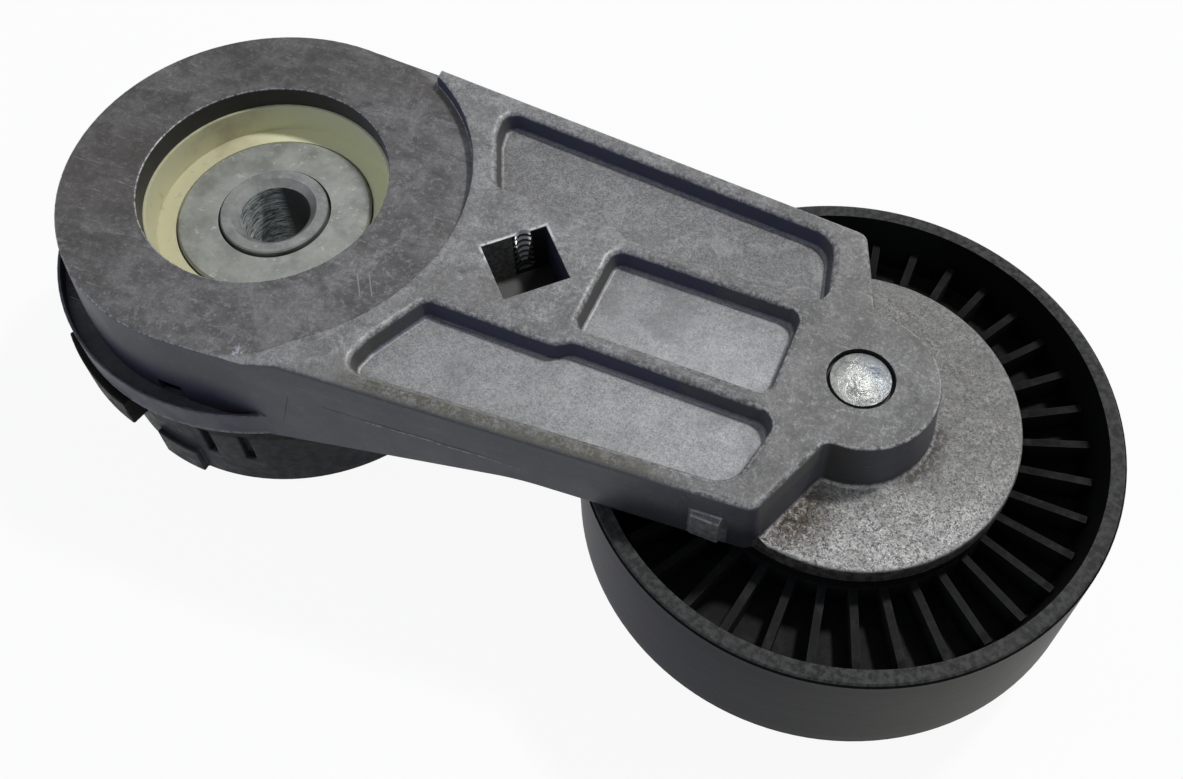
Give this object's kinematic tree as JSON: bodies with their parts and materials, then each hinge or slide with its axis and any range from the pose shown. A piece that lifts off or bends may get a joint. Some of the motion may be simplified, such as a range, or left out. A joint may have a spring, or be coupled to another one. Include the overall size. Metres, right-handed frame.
{
  "type": "belt tensioner with idler pulley",
  "caption": "Spring-loaded accessory belt tensioner: a cast swing arm turns on a bolted cup and carries a flat idler pulley on a ball bearing.",
  "frame": {"origin": "pivot axis at the back mounting face", "axes": "+Z out of the front of the part along the pivot axis, +X from the pivot axis to the pulley axis at the free stop, +Y up in the front view with the pulley to the right"},
  "size_m": [0.1629, 0.076, 0.0429],
  "materials": {
    "housing_black": "black coated casting, matt",
    "zinc_steel": "zinc plated, dulled",
    "zinc_plate": "zinc plated, grey-green and mottled",
    "dark_liner": "friction liner",
    "bush_polymer": "cream moulded nylon",
    "seal_rubber": "matt",
    "spring_steel": "phosphated wire",
    "arm_casting": "as-cast, aged and worn at the edges",
    "pin_steel": "bright riveted head",
    "bearing_steel": "ground",
    "cage_polymer": "moulded nylon",
    "pulley_polymer": "glass-filled nylon, worn"
  },
  "bodies": {
    "base": {"spring_housing": "housing_black", "pivot_tube": "zinc_steel", "front_plate": "zinc_plate", "friction_disc": "dark_liner", "locating_pin": "zinc_steel", "spring_seat": "bush_polymer", "thrust_washer": "zinc_steel", "rim_seal": "seal_rubber", "torsion_spring": "spring_steel"},
    "arm": {"tension_arm": "arm_casting", "friction_bush": "bush_polymer", "pivot_bush": "bush_polymer", "damping_sleeve": "dark_liner", "bearing_pin": "pin_steel", "spacer_washer": "zinc_steel", "bearing_inner_ring": "bearing_steel"},
    "pulley": {"idler_pulley": "pulley_polymer", "bearing_outer_ring": "bearing_steel", "front_seal": "seal_rubber", "rear_seal": "seal_rubber", "rear_dust_cap": "pulley_polymer"},
    "cage": {"ball_cage": "cage_polymer", "bearing_balls": "bearing_steel"}
  },
  "joints": [
    {"name": "arm_pivot", "type": "hinge", "parent": "base", "child": "arm", "pos_m": [0, 0, 0.02], "axis": [0, 0, 1], "range_deg": [0, 33], "stiffness_Nm_per_rad": 6, "springref_deg": -28.65, "deforming": ["torsion_spring"]},
    {"name": "pulley_spin", "type": "hinge", "parent": "arm", "child": "pulley", "pos_m": [0.0914, 0, 0.01675], "axis": [0, 0, 1], "continuous": true},
    {"name": "cage_spin", "type": "hinge", "parent": "arm", "child": "cage", "pos_m": [0.0914, 0, 0.01675], "axis": [0, 0, 1], "continuous": true}
  ],
  "couplings": [
    {"joint": "cage_spin", "follows": "pulley_spin", "ratio": 0.6}
  ]
}
